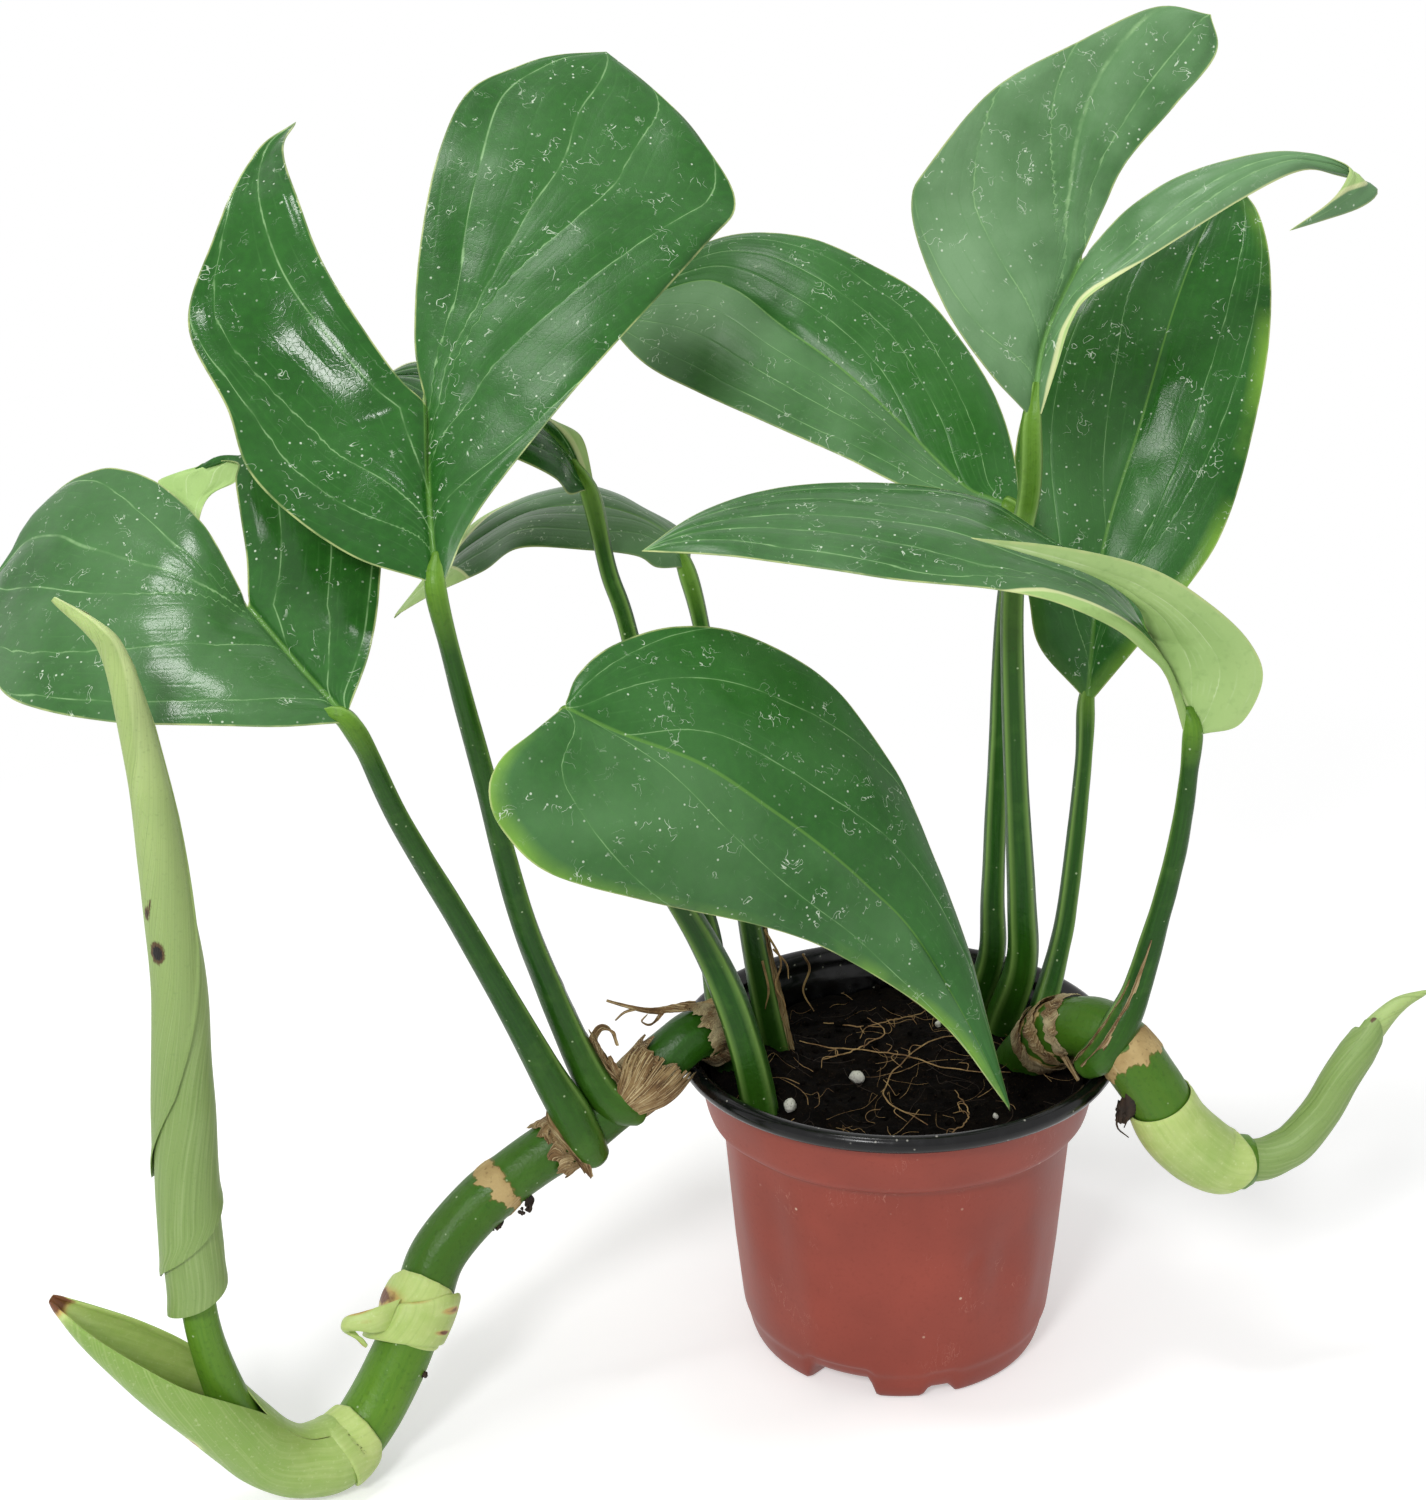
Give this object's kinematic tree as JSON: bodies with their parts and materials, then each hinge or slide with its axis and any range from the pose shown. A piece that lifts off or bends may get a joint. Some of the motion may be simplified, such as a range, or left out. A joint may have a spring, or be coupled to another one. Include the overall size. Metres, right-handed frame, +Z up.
{
  "type": "potted dragon tail plant",
  "caption": "Dragon tail plant in a small terracotta-coloured nursery pot, with split and heart-shaped leaves, two trailing canes and a new leaf still rolled.",
  "frame": {"origin": "centre of the pot's underside, on the surface it stands on", "axes": "+Z up; -Y is the front, where the heart-shaped leaf hangs; the long cane trails to -X and -Y"},
  "size_m": [0.3588, 0.193, 0.3554],
  "materials": {
    "pot_plastic": "satin",
    "soil": "matte",
    "perlite": "matte",
    "dry_root": "matte",
    "leaf": "satin",
    "stalk": "satin",
    "cane": "satin",
    "young_growth": "satin",
    "fresh_sheath": "satin",
    "dry_sheath": "matte"
  },
  "bodies": {
    "root": {"boat_sheath": "fresh_sheath", "collar_flap": "fresh_sheath", "collar_sheath": "fresh_sheath", "curl_sheath": "dry_sheath", "dry_fibre": "dry_root", "end_collar": "fresh_sheath", "fan_sheath": "dry_sheath", "heel_sheath": "dry_sheath", "leaf_arched_right": "leaf", "leaf_back_centre": "leaf", "leaf_back_left": "leaf", "leaf_front": "leaf", "leaf_lower_left": "leaf", "leaf_middle_right": "leaf", "leaf_tall_right": "leaf", "leaf_upper_left": "leaf", "leaf_upper_right": "leaf", "left_cane": "cane", "long_strip": "dry_sheath", "new_stalk": "young_growth", "perlite_grain_1": "perlite", "perlite_grain_2": "perlite", "perlite_grain_3": "perlite", "perlite_grain_4": "perlite", "pot": "pot_plastic", "pot_side_ring": "dry_sheath", "right_cane": "cane", "right_rings": "dry_sheath", "right_shoot": "young_growth", "rim_root": "dry_root", "rolled_leaf": "young_growth", "root_stub_1": "dry_root", "root_stub_2": "dry_root", "root_stub_3": "dry_root", "root_stub_4": "dry_root", "soil": "soil", "soil_root_1": "dry_root", "soil_root_2": "dry_root", "soil_root_3": "dry_root", "soil_root_4": "dry_root", "soil_root_5": "dry_root", "stalk_arched_right": "stalk", "stalk_back_centre": "stalk", "stalk_back_left": "stalk", "stalk_front": "stalk", "stalk_lower_left": "stalk", "stalk_middle_right": "stalk", "stalk_tall_right": "stalk", "stalk_upper_left": "stalk", "stalk_upper_right": "stalk", "strip_arched_right": "dry_sheath", "strip_back_centre": "dry_sheath", "strip_upper_left": "dry_sheath", "tip_sheath": "fresh_sheath"}
  },
  "joints": []
}
